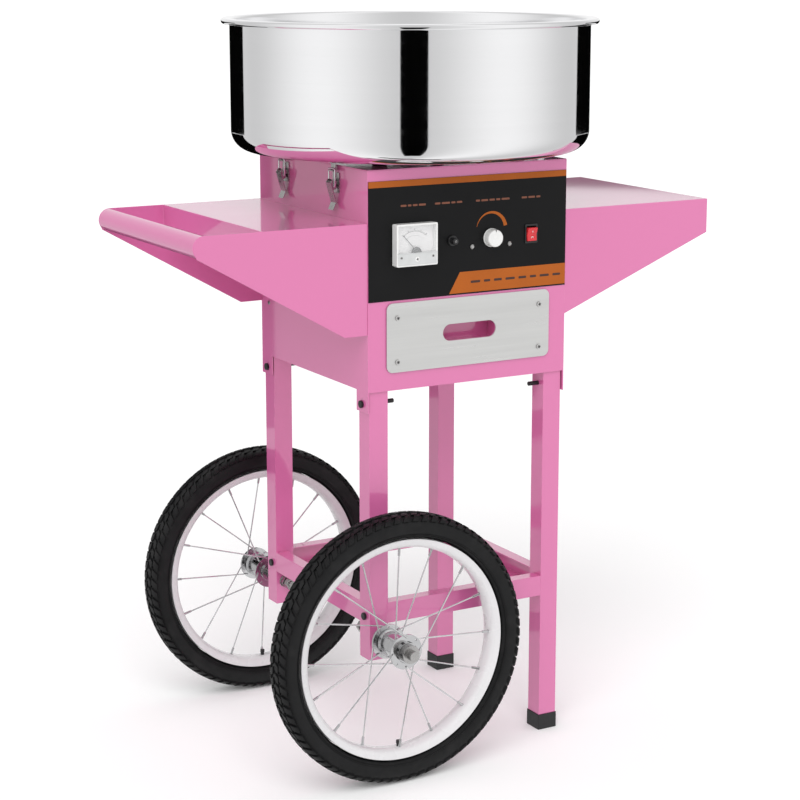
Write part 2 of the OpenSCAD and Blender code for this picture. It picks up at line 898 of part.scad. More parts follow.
module axle_bolts() color(zinc) placed() {
    r = axle_diameter / 2;
    y_in = leg_y - leg_size;
    for (s = [0, 1])
        mirror([0, s, 0])
            translate([-leg_cx, 0, axle_z]) {
                rod_y(-252, -y_in + 24, r);
                rod_y(-y_in, -y_in + 1.6, 9.4);
                for (y = [1.6, 14])
                    translate([0, -y_in + y, 0])
                        rotate([-90, 0, 0])
                            cylinder(h = 7.5, r = 9, $fn = 6);
                rod_y(-176.6, -leg_y, 9);
                rod_y(-246, -236.4, 12.5);
                rod_y(-255.8, -245, 7);
            }
}

housing();
deck_plate();
bowl_pads();
control_panel();
voltmeter_case();
voltmeter_window();
fuse_holder();
switch_bezel();
heat_controller();
panel_screws();
power_inlet();
bowl();
bowl_keepers();
latch_bases();
motor();
motor_mount();
brush_holder();
carbon_brushes();
drawer_runners();
left_tray();
push_handle();
right_tray();
front_left_leg();
rear_left_leg();
front_right_leg();
rear_right_leg();
foot_caps();
front_rail();
rear_rail();
left_rail();
right_rail();
frame_bolts();
axle_bolts();
spindle();
slip_rings();
head_base();
heating_band();
head_lid();
front_tyre();
front_rim();
front_spokes();
front_hub();
rear_tyre();
rear_rim();
rear_spokes();
rear_hub();
drawer_tray();
drawer_front();
heat_knob();
power_rocker();
voltmeter_needle();
fuse_cap();
lever_front_left();
lever_rear_left();
lever_front_right();
lever_rear_right();
bail_front_left();
bail_rear_left();
bail_front_right();
bail_rear_right();
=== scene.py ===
"""The looks of a cotton candy machine on a two-wheeled cart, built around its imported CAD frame.

All sizes are in metres in the frame's own axes: the control panel faces -Y and the handle is at -X.
"""

import json
import math

import bmesh
import bpy
from mathutils import Matrix, Vector


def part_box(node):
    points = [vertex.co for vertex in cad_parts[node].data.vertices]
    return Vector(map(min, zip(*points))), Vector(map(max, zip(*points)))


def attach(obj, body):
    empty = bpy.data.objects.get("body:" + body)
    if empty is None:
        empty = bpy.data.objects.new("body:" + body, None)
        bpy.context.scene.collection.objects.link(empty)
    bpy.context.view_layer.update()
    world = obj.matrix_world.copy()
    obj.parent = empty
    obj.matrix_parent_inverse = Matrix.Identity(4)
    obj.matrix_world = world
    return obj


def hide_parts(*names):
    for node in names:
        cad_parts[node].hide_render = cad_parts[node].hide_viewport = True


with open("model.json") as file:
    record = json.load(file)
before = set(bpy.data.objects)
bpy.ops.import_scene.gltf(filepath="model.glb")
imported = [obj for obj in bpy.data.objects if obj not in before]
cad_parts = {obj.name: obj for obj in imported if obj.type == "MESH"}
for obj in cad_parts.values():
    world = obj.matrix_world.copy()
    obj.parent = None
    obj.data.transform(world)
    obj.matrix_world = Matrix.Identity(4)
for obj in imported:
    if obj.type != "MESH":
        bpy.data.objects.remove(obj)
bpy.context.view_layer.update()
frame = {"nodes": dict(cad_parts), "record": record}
NODES = frame["nodes"]
SCENE = bpy.context.scene
MM = 0.001

# A turned outline stops this far from its axis, and its end is then filled.
AXIS_GAP = 0.05 * MM


def middle(node):
    """The middle of a CAD node's box."""
    low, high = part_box(node)
    return (Vector(low) + Vector(high)) / 2


# ---------------------------------------------------------------- materials


class Graph:
    """One material's node tree, with short calls for the nodes used here."""

    def __init__(self, name):
        self.material = bpy.data.materials.new(name)
        self.material.use_nodes = True
        self.tree = self.material.node_tree
        self.shader = self.tree.nodes["Principled BSDF"]
        self.where = self.add("ShaderNodeTexCoord").outputs["Object"]

    def add(self, kind, inputs=None, **settings):
        made = self.tree.nodes.new(kind)
        for key, value in settings.items():
            setattr(made, key, value)
        for key, value in (inputs or {}).items():
            if isinstance(value, bpy.types.NodeSocket):
                self.tree.links.new(value, made.inputs[key])
            else:
                made.inputs[key].default_value = value
        return made

    def noise(self, scale, stretch=(1, 1, 1), detail=3.0, shift=(0, 0, 0)):
        """Noise in the object's own space. A stretch below 1 draws it out along that axis."""
        place = self.add("ShaderNodeMapping", {"Vector": self.where, "Scale": stretch, "Location": shift})
        made = self.add("ShaderNodeTexNoise", {"Vector": place.outputs[0], "Scale": scale, "Detail": detail})
        return made.outputs["Fac"]

    def spread(self, value, low, high, to_low, to_high):
        inputs = {"Value": value, "From Min": low, "From Max": high, "To Min": to_low, "To Max": to_high}
        return self.add("ShaderNodeMapRange", inputs).outputs[0]

    def math(self, operation, a, b):
        return self.add("ShaderNodeMath", {0: a, 1: b}, operation=operation).outputs[0]

    def blend(self, factor, a, b):
        inputs = {"Factor": factor, "A": a, "B": b}
        made = self.tree.nodes.new("ShaderNodeMix")
        made.data_type = "RGBA"
        for socket in made.inputs:
            if socket.name in inputs and socket.enabled:
                value = inputs[socket.name]
                if isinstance(value, bpy.types.NodeSocket):
                    self.tree.links.new(value, socket)
                else:
                    socket.default_value = value
        return [s for s in made.outputs if s.enabled][0]

    def edges(self, radius):
        """A mask that is above 0 only within a radius of an edge, where a soft normal leans away."""
        soft = self.add("ShaderNodeBevel", {"Radius": radius}, samples=4).outputs[0]
        flat = self.add("ShaderNodeNewGeometry").outputs["Normal"]
        made = self.add("ShaderNodeVectorMath", {0: soft, 1: flat}, operation="DOT_PRODUCT")
        return self.spread(made.outputs["Value"], 0.98, 0.80, 0.0, 0.5)

    def bump(self, height, strength, distance):
        inputs = {"Height": height, "Strength": strength, "Distance": distance}
        before = self.shader.inputs["Normal"]
        if before.is_linked:
            inputs["Normal"] = before.links[0].from_socket
        made = self.add("ShaderNodeBump", inputs)
        self.tree.links.new(made.outputs[0], before)

    def link(self, value, name):
        self.tree.links.new(value, self.shader.inputs[name])

    def set(self, **values):
        for key, value in values.items():
            self.shader.inputs[key.replace("_", " ")].default_value = value


def shade(colour, factor):
    """A colour made darker or lighter, with its alpha."""
    return (*[min(1.0, channel * factor) for channel in colour[:3]], 1.0)


WEAR_WIDTH = 0.8 * MM


def surface(name, colour, rough, metallic=0.0, tint=0.06, patch=9.0, grain=900.0, relief=0.03,
            stretch=(1, 1, 1), rough_change=0.05, coat=0.0, coat_rough=0.05, wear=None):
    """A finish with cloudy colour, a fine grain in its relief and uneven gloss.

    patch and grain are noise scales per metre. wear is the colour of the rubbed edges.
    """
    g = Graph(name)
    cloud = g.noise(patch, stretch, detail=5.0)
    base = g.blend(g.spread(cloud, 0.3, 0.7, 0.0, 1.0), shade(colour, 1 - tint), shade(colour, 1 + tint))
    fine = g.noise(grain, stretch, detail=4.0, shift=(0.37, 0.11, 0.73))
    base = g.blend(g.spread(fine, 0.35, 0.75, 0.0, 0.5), base, shade(colour, 1 - tint))
    if wear:
        broken = g.math("MULTIPLY", g.edges(WEAR_WIDTH), g.spread(g.noise(140.0), 0.45, 0.6, 0.0, 1.0))
        base = g.blend(broken, base, (*wear, 1.0))
    g.link(base, "Base Color")
    smear = g.noise(patch * 3.7, stretch, detail=6.0, shift=(0.9, 0.2, 0.4))
    g.link(g.spread(smear, 0.3, 0.7, max(0.02, rough - rough_change), rough + rough_change), "Roughness")
    g.bump(fine, relief, 0.0004)
    g.set(Metallic=metallic, Coat_Weight=coat, Coat_Roughness=coat_rough)
    return g


def pink_paint():
    """Gloss powder coat over sheet steel, with a faint orange peel and soft specks."""
    g = surface("pink_paint", (0.66, 0.146, 0.363), 0.30, tint=0.008, patch=3.0, grain=1400.0, relief=0.025,
                rough_change=0.02, coat=1.0, coat_rough=0.05, wear=(0.80, 0.36, 0.55))
    g.set(Coat_IOR=1.7)
    g.bump(g.noise(160.0, detail=2.0), 0.02, 0.0004)
    return g.material


def polished_steel():
    """Spun and polished stainless: fine rings around the vertical axis and faint wiping marks."""
    g = surface("polished_steel", (0.93, 0.93, 0.94), 0.045, metallic=1.0, tint=0.02, patch=4.0,
                grain=260.0, relief=0.012, stretch=(0.05, 0.05, 6.0), rough_change=0.02)
    return g.material


def brushed_steel():
    """Drawer front: long brushing lines along X with a satin gloss."""
    g = surface("brushed_front", (0.67, 0.67, 0.66), 0.34, metallic=0.85, tint=0.04, patch=60.0,
                grain=520.0, relief=0.10, stretch=(0.03, 1.0, 1.0), rough_change=0.08)
    return g.material


def zinc_steel():
    """Zinc plate: pale crystals of slightly different brightness, with duller smears."""
    g = surface("zinc_steel", (0.47, 0.46, 0.455), 0.27, metallic=1.0, tint=0.10, patch=60.0,
                grain=900.0, relief=0.08, rough_change=0.10, wear=(0.85, 0.84, 0.82))
    cells = g.add("ShaderNodeTexVoronoi", {"Vector": g.where, "Scale": 420.0})
    g.bump(cells.outputs["Distance"], 0.04, 0.0003)
    return g.material


def tyre_rubber():
    """Moulded rubber: dull, with fine pores, mould rings and a little dust in random patches."""
    g = surface("tyre_rubber", (0.008, 0.008, 0.0085), 0.46, tint=0.25, patch=26.0, grain=1500.0,
                relief=0.22, rough_change=0.10)
    dust = g.spread(g.noise(38.0, detail=6.0, shift=(0.5, 0.5, 0.1)), 0.52, 0.78, 0.0, 0.25)
    tinted = g.blend(dust, g.shader.inputs["Base Color"].links[0].from_socket, (0.040, 0.038, 0.038, 1.0))
    g.link(tinted, "Base Color")
    g.set(Specular_IOR_Level=0.22)
    return g.material


def heater_steel():
    """Resistance band: heat colours from straw to blue over a dull metal."""
    g = surface("heater_steel", (0.42, 0.38, 0.33), 0.38, metallic=1.0, tint=0.12, patch=30.0,
                grain=800.0, relief=0.08, stretch=(1, 1, 0.2))
    heat = g.spread(g.noise(22.0, (1, 1, 3.0), detail=2.0), 0.45, 0.65, 0.0, 0.7)
    tinted = g.blend(heat, g.shader.inputs["Base Color"].links[0].from_socket, (0.16, 0.17, 0.30, 1.0))
    g.link(tinted, "Base Color")
    return g.material


def red_rocker():
    """Glossy red switch plastic with a soft glow of light inside it."""
    g = surface("red_plastic", (0.66, 0.012, 0.022), 0.16, tint=0.10, patch=120.0, grain=2200.0,
                relief=0.02, coat=0.5)
    g.set(Subsurface_Weight=0.25, Subsurface_Scale=0.002)
    return g.material


def clear_window():
    """Clear plastic with faint wiping marks."""
    g = surface("clear_window", (0.95, 0.97, 0.98), 0.06, tint=0.01, patch=60.0, grain=2000.0, relief=0.01,
                rough_change=0.03)
    g.set(Alpha=0.16)
    return g.material


def simple(name, colour, rough, specular=0.5, **more):
    g = surface(name, colour, rough, **more)
    g.set(Specular_IOR_Level=specular)
    return g.material


MATERIALS = {
    "pink_paint": pink_paint(),
    "polished_steel": polished_steel(),
    "brushed_front": brushed_steel(),
    "zinc_steel": zinc_steel(),
    "black_panel": simple("black_panel", (0.0060, 0.0060, 0.0065), 0.42, specular=0.16, tint=0.10,
                          patch=14.0, grain=2600.0, relief=0.05),
    "orange_print": simple("orange_print", (0.42, 0.105, 0.014), 0.42, specular=0.16, tint=0.06,
                           patch=24.0, grain=2600.0, relief=0.03),
    "label_print": simple("label_print", (0.20, 0.062, 0.030), 0.42, tint=0.12, patch=60.0, grain=2600.0),
    "dark_print": simple("dark_print", (0.050, 0.016, 0.010), 0.42, tint=0.15, patch=60.0, grain=2600.0),
    "white_print": simple("white_print", (0.82, 0.80, 0.80), 0.35, tint=0.03, patch=60.0, grain=2600.0),
    "white_plastic": simple("white_plastic", (0.80, 0.80, 0.79), 0.24, tint=0.02, patch=30.0, grain=1800.0,
                            relief=0.04, coat=0.3),
    "frosted_plastic": simple("frosted_plastic", (0.60, 0.61, 0.61), 0.42, tint=0.05, patch=80.0,
                              grain=1500.0, relief=0.15),
    "black_plastic": simple("black_plastic", (0.016, 0.016, 0.017), 0.36, tint=0.15, patch=50.0, grain=1700.0,
                            relief=0.12),
    "black_steel": simple("black_steel", (0.014, 0.014, 0.015), 0.32, specular=0.4, tint=0.2, patch=70.0,
                          grain=1600.0, relief=0.10, wear=(0.10, 0.10, 0.10)),
    "red_plastic": red_rocker(),
    "clear_window": clear_window(),
    "black_rubber": simple("black_rubber", (0.014, 0.014, 0.015), 0.55, tint=0.2, patch=40.0, grain=1300.0,
                           relief=0.2, wear=(0.06, 0.06, 0.06)),
    "tyre_rubber": tyre_rubber(),
    "white_rim": simple("white_rim", (0.70, 0.69, 0.70), 0.27, tint=0.03, patch=12.0, grain=1500.0,
                        relief=0.03, coat=0.45),
    "spoke_chrome": simple("spoke_chrome", (0.74, 0.74, 0.75), 0.17, metallic=1.0, tint=0.08, patch=70.0,
                           grain=900.0, relief=0.03),
    "hub_aluminium": simple("hub_aluminium", (0.60, 0.60, 0.61), 0.14, metallic=1.0, tint=0.08, patch=40.0,
                            grain=700.0, relief=0.06, stretch=(1, 8, 1), wear=(0.90, 0.90, 0.90)),
    "spinner_aluminium": simple("spinner_aluminium", (0.66, 0.67, 0.68), 0.26, metallic=1.0, tint=0.07,
                                patch=30.0, grain=700.0, relief=0.08, stretch=(1, 1, 6)),
    "heater_steel": heater_steel(),
    "motor_paint": simple("motor_paint", (0.045, 0.05, 0.058), 0.4, tint=0.15, patch=25.0, grain=900.0,
                          relief=0.2, coat=0.2),
    "ring_brass": simple("ring_brass", (0.62, 0.38, 0.12), 0.22, metallic=1.0, tint=0.1, patch=40.0,
                         grain=900.0, relief=0.08, stretch=(0.1, 0.1, 8)),
    "carbon": simple("carbon", (0.02, 0.02, 0.022), 0.5, tint=0.2, patch=80.0, grain=1200.0, relief=0.2),
    "red_seal": simple("red_seal", (0.13, 0.010, 0.018), 0.35, tint=0.15, patch=90.0, grain=1400.0,
                       relief=0.1),
}

SLOT_OF = {entry["node"]: entry["material_slot"] for entry in frame["record"]["subparts"]}
BODY_OF = {node: body for body, nodes in frame["record"]["behaviour"]["bodies"].items() for node in nodes}


def paint_nodes():
    """Every CAD node that stays in view takes the finish of its slot."""
    for name, obj in NODES.items():
        look = MATERIALS[SLOT_OF[name]]
        for place in obj.material_slots:
            place.material = look


# ---------------------------------------------------------------- mesh helpers


def place_piece(name, mesh, look, body, stands_for=(), smooth=35):
    """Puts a finished mesh into the scene, riding on a CAD body."""
    piece = bpy.data.objects.new(name, mesh)
    SCENE.collection.objects.link(piece)
    mesh.materials.clear()
    mesh.materials.append(MATERIALS[look])
    mesh.shade_smooth()
    mesh.set_sharp_from_angle(angle=math.radians(smooth))
    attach(piece, body)
    if stands_for:
        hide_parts(*stands_for)
    return piece


def to_mesh(name, bm):
    bmesh.ops.recalc_face_normals(bm, faces=bm.faces)
    mesh = bpy.data.meshes.new(name)
    bm.to_mesh(mesh)
    bm.free()
    return mesh


def round_edges(piece, width, segments=2, angle=40):
    """Rounds the sharp edges and lets the larger faces set the normals, so that flat ones look flat."""
    edge = piece.modifiers.new("edge", "BEVEL")
    edge.width = width
    edge.segments = segments
    edge.limit_method = "ANGLE"
    edge.angle_limit = math.radians(angle)
    even = piece.modifiers.new("even", "WEIGHTED_NORMAL")
    even.mode = "FACE_AREA"
    even.weight = 100
    even.keep_sharp = True
    return piece


def rounded(node, width=0.5 * MM, segments=2):
    """A CAD node's own shape with its flat faces joined up and its edges broken as on the real piece."""
    bm = bmesh.new()
    bm.from_mesh(NODES[node].data)
    bmesh.ops.remove_doubles(bm, verts=bm.verts, dist=1e-6)
    bmesh.ops.dissolve_limit(bm, angle_limit=math.radians(0.6), verts=bm.verts, edges=bm.edges)
    mesh = to_mesh(node + "_shape", bm)
    piece = place_piece(node + "_shape", mesh, SLOT_OF[node], BODY_OF[node], [node])
    return round_edges(piece, width, segments)


def arc(x, y, radius, start, end, steps):
    """Points along an arc, from one angle to another in degrees, both ends included."""
    angles = [math.radians(start + (end - start) * i / steps) for i in range(steps + 1)]
    return [(x + radius * math.cos(a), y + radius * math.sin(a)) for a in angles]


def lathe_bm(outline, steps=192, closed=True):
    """Turns an outline of (radius, height) points about the Z axis."""
    bm = bmesh.new()
    rings = []
    for i in range(steps):
        turn = 2 * math.pi * i / steps
        rings.append([bm.verts.new((r * math.cos(turn), r * math.sin(turn), h)) for r, h in outline])
    count = len(outline)
    for i in range(steps):
        here, after = rings[i], rings[(i + 1) % steps]
        for j in range(count if closed else count - 1):
            k = (j + 1) % count
            bm.faces.new((here[j], here[k], after[k], after[j]))
    return bm


def lathe(name, outline, look, body, at=(0, 0, 0), axis="Z", steps=192, closed=True, stands_for=()):
    """A turned piece. With axis "-Y" its height runs towards the front, and with "Y" to the back."""
    bm = lathe_bm(outline, steps, closed)
    turn = {"Z": 0, "Y": -90, "-Y": 90}[axis]
    bm.transform(Matrix.Translation(at) @ Matrix.Rotation(math.radians(turn), 4, "X"))
    return place_piece(name, to_mesh(name, bm), look, body, stands_for)


def add_prism(bm, outline, front, back, matrix=Matrix()):
    """Adds a plate with an outline in X and Z between two planes of Y."""
    near = [bm.verts.new(matrix @ Vector((x, front, z))) for x, z in outline]
    far = [bm.verts.new(matrix @ Vector((x, back, z))) for x, z in outline]
    bm.faces.new(near)
    bm.faces.new(list(reversed(far)))
    for i in range(len(outline)):
        k = (i + 1) % len(outline)
        bm.faces.new((near[i], far[i], far[k], near[k]))


def slab(name, outlines, front, back, look, body, round_by=0.0, matrix=Matrix(), stands_for=()):
    """One piece made of plates with outlines in X and Z."""
    bm = bmesh.new()
    for outline in outlines:
        add_prism(bm, outline, front, back, matrix)
    piece = place_piece(name, to_mesh(name, bm), look, body, stands_for)
    return round_edges(piece, round_by) if round_by else piece


def rectangle(x, z, width, height, corner=0.0, steps=4):
    """A rectangle about its middle, with round corners if asked."""
    w, h = width / 2, height / 2
    if not corner:
        return [(x - w, z - h), (x + w, z - h), (x + w, z + h), (x - w, z + h)]
    points = []
    for sx, sz, start in ((1, 1, 0), (-1, 1, 90), (-1, -1, 180), (1, -1, 270)):
        points += arc(x + sx * (w - corner), z + sz * (h - corner), corner, start, start + 90, steps)
    return points


def add_tube(bm, points, radius, sides=10):
    """Adds a round bar through points, closed at both ends."""
    points = [Vector(p) for p in points]
    rings = []
    side = None
    for i, p in enumerate(points):
        along = (points[min(i + 1, len(points) - 1)] - points[max(i - 1, 0)]).normalized()
        guide = side or along.orthogonal()
        side = (guide - along * guide.dot(along)).normalized()
        other = along.cross(side)
        turns = [2 * math.pi * k / sides for k in range(sides)]
        rings.append([bm.verts.new(p + radius * (math.cos(t) * side + math.sin(t) * other)) for t in turns])
    for here, after in zip(rings, rings[1:]):
        for k in range(sides):
            m = (k + 1) % sides
            bm.faces.new((here[k], here[m], after[m], after[k]))
    bm.faces.new(rings[0])
    bm.faces.new(rings[-1])


def add_bm(target, source, matrix):
    """Moves the geometry of one bmesh into another, through a matrix."""
    source.transform(matrix)
    copies = {v: target.verts.new(v.co) for v in source.verts}
    for face in source.faces:
        target.faces.new([copies[v] for v in face.verts])
    source.free()


def turn_to(direction):
    """Rotation that takes +Z to a direction."""
    return Vector(direction).to_track_quat("Z", "Y").to_matrix().to_4x4()


# ---------------------------------------------------------------- camera, floor and light

CAMERA_AT = (-1.4344, -2.5122, 1.1107)
CAMERA_AZIMUTH = -29.484
CAMERA_PITCH = 11.52
CAMERA_LENS = 93.37
CAMERA_SENSOR = 36.0
CAMERA_SHIFT_Y = -0.045


def make_camera():
    data = bpy.data.cameras.new("camera")
    data.lens = CAMERA_LENS
    data.sensor_width = CAMERA_SENSOR
    data.shift_y = CAMERA_SHIFT_Y
    data.clip_start = 0.1
    data.clip_end = 200.0
    camera = bpy.data.objects.new("camera", data)
    SCENE.collection.objects.link(camera)
    camera.location = CAMERA_AT
    camera.rotation_euler = (math.radians(90 - CAMERA_PITCH), 0, math.radians(CAMERA_AZIMUTH))
    SCENE.camera = camera


FLOOR_RADIUS = 40.0
FLOOR_GLOW = 0.05


def make_floor():
    """A wide white disc with a slight glow. Shiny surfaces mirror the dome in its place."""
    bm = bmesh.new()
    bmesh.ops.create_circle(bm, cap_ends=True, segments=128, radius=FLOOR_RADIUS)
    mesh = to_mesh("floor", bm)
    g = surface("floor_white", (0.97, 0.97, 0.97), 0.55, tint=0.004, patch=1.5, grain=60.0, relief=0.01)
    g.set(Specular_IOR_Level=0.0, Emission_Color=(1.0, 1.0, 1.0, 1.0), Emission_Strength=FLOOR_GLOW)
    mesh.materials.append(g.material)
    floor = bpy.data.objects.new("floor", mesh)
    SCENE.collection.objects.link(floor)
    floor.visible_glossy = False


# Name, first and last angle in degrees about the bowl, distance from its axis, lowest and highest z.
# The middle one gives the band in the bowl's front, and the others those at its two edges.
FLAGS = (
    ("flag_middle", 234.5, 251.0, 3.2, -6.0, 1.05),
    ("flag_left", 68.0, 115.0, 2.2, 0.62, 0.98),
    ("flag_right", 5.5, 52.0, 2.2, 0.62, 0.98),
    ("flag_left_low", 76.0, 121.5, 0.9, 0.25, 0.76),
    ("flag_right_low", -0.9, 44.5, 0.9, 0.25, 0.76),
)


def make_flag(name, start, end, distance, low, high):
    """A black studio flag on an arc round the object. Only shiny surfaces show it."""
    bm = bmesh.new()
    centre = middle("bowl")
    points = arc(centre.x, centre.y, distance, start, end, 24)
    columns = [[bm.verts.new((x, y, z)) for z in (low, high)] for x, y in points]
    for here, after in zip(columns, columns[1:]):
        bm.faces.new((here[0], after[0], after[1], here[1]))
    mesh = to_mesh(name, bm)
    black = Graph(name + "_cloth")
    weave = black.spread(black.noise(300.0), 0.3, 0.7, 0.0, 0.002)
    black.link(weave, "Base Color")
    black.set(Roughness=1.0, Specular_IOR_Level=0.0)
    mesh.materials.append(black.material)
    flag = bpy.data.objects.new(name, mesh)
    SCENE.collection.objects.link(flag)
    flag.visible_camera = False
    flag.visible_shadow = False
    flag.visible_diffuse = False


WORLD_LEVEL = 0.74
WORLD_DARK = 0.62
WORLD_BRIGHT = 0.95
WORLD_BRIGHT_AT = 62
WORLD_WAVES = 3


def make_world():
    """An even pale dome. In shiny surfaces it is brighter on three sides than between them."""
    world = bpy.data.worlds.new("studio")
    world.use_nodes = True
    SCENE.world = world
    tree = world.node_tree

    def add(kind, operation, *inputs):
        made = tree.nodes.new(kind)
        if operation:
            made.operation = operation
        for socket, value in zip(made.inputs, inputs):
            if isinstance(value, bpy.types.NodeSocket):
                tree.links.new(value, socket)
            else:
                socket.default_value = value
        return made

    where = tree.nodes.new("ShaderNodeTexCoord").outputs["Generated"]
    parts = add("ShaderNodeSeparateXYZ", None, where)
    angle = add("ShaderNodeMath", "ARCTAN2", parts.outputs["Y"], parts.outputs["X"])
    start = math.radians(-WORLD_WAVES * WORLD_BRIGHT_AT)
    wave = add("ShaderNodeMath", "MULTIPLY_ADD", angle.outputs[0], float(WORLD_WAVES), start)
    cosine = add("ShaderNodeMath", "COSINE", wave.outputs[0])
    level = add("ShaderNodeMapRange", None, cosine.outputs[0], -1.0, 1.0, WORLD_DARK, WORLD_BRIGHT)
    shiny = tree.nodes.new("ShaderNodeLightPath").outputs["Is Glossy Ray"]
    pick = tree.nodes.new("ShaderNodeMix")
    pick.data_type = "FLOAT"
    tree.links.new(shiny, pick.inputs[0])
    pick.inputs[2].default_value = WORLD_LEVEL
    tree.links.new(level.outputs[0], pick.inputs[3])
    tree.links.new(pick.outputs[0], tree.nodes["Background"].inputs["Color"])


KEY_STRENGTH = 1.55
KEY_HEIGHT = 45.0
KEY_AZIMUTH = -35.0
KEY_SPREAD = 50.0


def make_key(strength, height, azimuth, spread):
    """One wide soft lamp so far away that it lights the floor evenly."""
    data = bpy.data.lights.new("key", "SUN")
    data.energy = strength
    data.angle = math.radians(spread)
    light = bpy.data.objects.new("key", data)
    SCENE.collection.objects.link(light)
    light.rotation_euler = (math.radians(90 - height), 0, math.radians(azimuth))
    light.visible_glossy = False


def make_studio():
    SCENE.view_settings.view_transform = "Standard"
    make_floor()
    make_world()
    for flag in FLAGS:
        make_flag(*flag)
    make_key(KEY_STRENGTH, KEY_HEIGHT, KEY_AZIMUTH, KEY_SPREAD)


# ---------------------------------------------------------------- bowl and spinner

BOWL_SHEET = 1.2 * MM
BOWL_CORNER = 28 * MM
BOWL_WALL = 248.4 * MM
BOWL_BEAD = 4 * MM
BOWL_FLANGE = 3 * MM
BOWL_HOLE = 30 * MM
BOWL_COLLAR = 7 * MM
BOWL_COLLAR_FOOT = 2 * MM


def make_bowl():
    """Spun bowl: flat bottom, round lower corner, straight wall and a flange with a rolled bead."""
    low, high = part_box("bowl")
    rim = (high[0] - low[0]) / 2
    bottom, top = low[2], high[2]
    t, c, wall = BOWL_SHEET, BOWL_CORNER, BOWL_WALL
    flange = BOWL_FLANGE
    bead_x = rim - BOWL_BEAD
    outer = [(BOWL_HOLE, bottom), (wall - c, bottom)]
    outer += arc(wall - c, bottom + c, c, -88, 0, 14)
    outer += [(wall, top - t - flange)]
    outer += arc(wall + flange, top - t - flange, flange, 180, 95, 6)
    outer += arc(bead_x, top - BOWL_BEAD, BOWL_BEAD, 205, 450, 20)
    inner = arc(wall - t + flange, top - flange - t, flange + t, 90, 180, 8)
    inner += [(wall - t, bottom + c)]
    inner += arc(wall - c, bottom + c, c - t, 0, -90, 14)
    foot = BOWL_COLLAR_FOOT
    inner += [(BOWL_HOLE + t + foot, bottom + t)]
    inner += arc(BOWL_HOLE + t + foot, bottom + t + foot, foot, -90, -180, 4)
    inner += [(BOWL_HOLE + t, bottom + BOWL_COLLAR), (BOWL_HOLE, bottom + BOWL_COLLAR)]
    at = middle("bowl")
    lathe("bowl_shell", outer + inner, "polished_steel", "body", (at.x, at.y, 0), steps=256,
          stands_for=["bowl"])


LID_RIB_RADII = (34 * MM, 42 * MM, 50 * MM)
VANES = 12


def make_spinner():
    """The spinning head's parts, with raised rings on its lid and thin vanes under it."""
    rounded("head_base", 0.6 * MM)
    rounded("head_lid", 0.8 * MM)
    rounded("heating_band", 0.15 * MM, 1)
    rounded("spindle", 0.5 * MM)
    rounded("slip_rings", 0.4 * MM)
    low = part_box("head_lid")[0]
    at = middle("head_lid")
    bm = bmesh.new()
    for radius in LID_RIB_RADII:
        ring = lathe_bm([(radius + 0.9 * MM * x, y * MM) for x, y in ((-1, -0.2), (0, 0.5), (1, -0.2))], 96)
        add_bm(bm, ring, Matrix.Translation((at.x, at.y, low[2] + 4 * MM)))
    place_piece("lid_ribs", to_mesh("lid_ribs", bm), "spinner_aluminium", "spinner")
    fins = bmesh.new()
    for k in range(VANES):
        turn = Matrix.Rotation(math.radians(360 / VANES * k + 8), 4, "Z")
        shift = Matrix.Translation((at.x, at.y, 0))
        fin = bmesh.new()
        bmesh.ops.create_cube(fin, size=1.0)
        fin.transform(Matrix.Translation((46 * MM, 0, low[2] - 39 * MM))
                      @ Matrix.Diagonal((26 * MM, 0.8 * MM, 5 * MM, 1)))
        add_bm(fins, fin, shift @ turn)
    place_piece("head_vanes", to_mesh("head_vanes", fins), "spinner_aluminium", "spinner")


# ---------------------------------------------------------------- housing, trays and frame


def add_screw(bm, at, direction, radius, height):
    """A pan head, solid on top; its cross recess is not cut but painted on it as a dark cross of painted
    shade.
    """
    head = lathe_bm([(0.0002, 0), (radius, 0), (radius, height * 0.35), (radius * 0.86, height * 0.8),
                     (radius * 0.55, height), (0.0002, height * 1.02)], 28, closed=False)
    bmesh.ops.holes_fill(head, edges=head.edges)
    add_bm(bm, head, Matrix.Translation(at) @ turn_to(direction))


def add_cross_shade(bm, at, direction, size, lift):
    """A black cross a hair proud of a screw head: painted shade standing for the dark of its cross recess."""
    for quarter in (0, 90):
        bar = bmesh.new()
        bmesh.ops.create_cube(bar, size=1.0)
        bar.transform(Matrix.Translation((0, 0, lift)) @ Matrix.Rotation(math.radians(quarter + 18), 4, "Z")
                      @ Matrix.Diagonal((size, size * 0.24, 0.25 * MM, 1)))
        add_bm(bm, bar, Matrix.Translation(at) @ turn_to(direction))


def make_screws(name, places, direction, radius, height, body="body", look="zinc_steel"):
    heads, cross_shades = bmesh.new(), bmesh.new()
    for at in places:
        add_screw(heads, at, direction, radius, height)
        # Each head gets a black cross laid on top, kept as the _slots piece: painted shade standing for its
        # cross recess.
        add_cross_shade(cross_shades, at, direction, radius * 1.15, height)
    place_piece(name, to_mesh(name, heads), look, body)
    place_piece(name + "_slots", to_mesh(name + "_slots", cross_shades), "black_plastic", body)


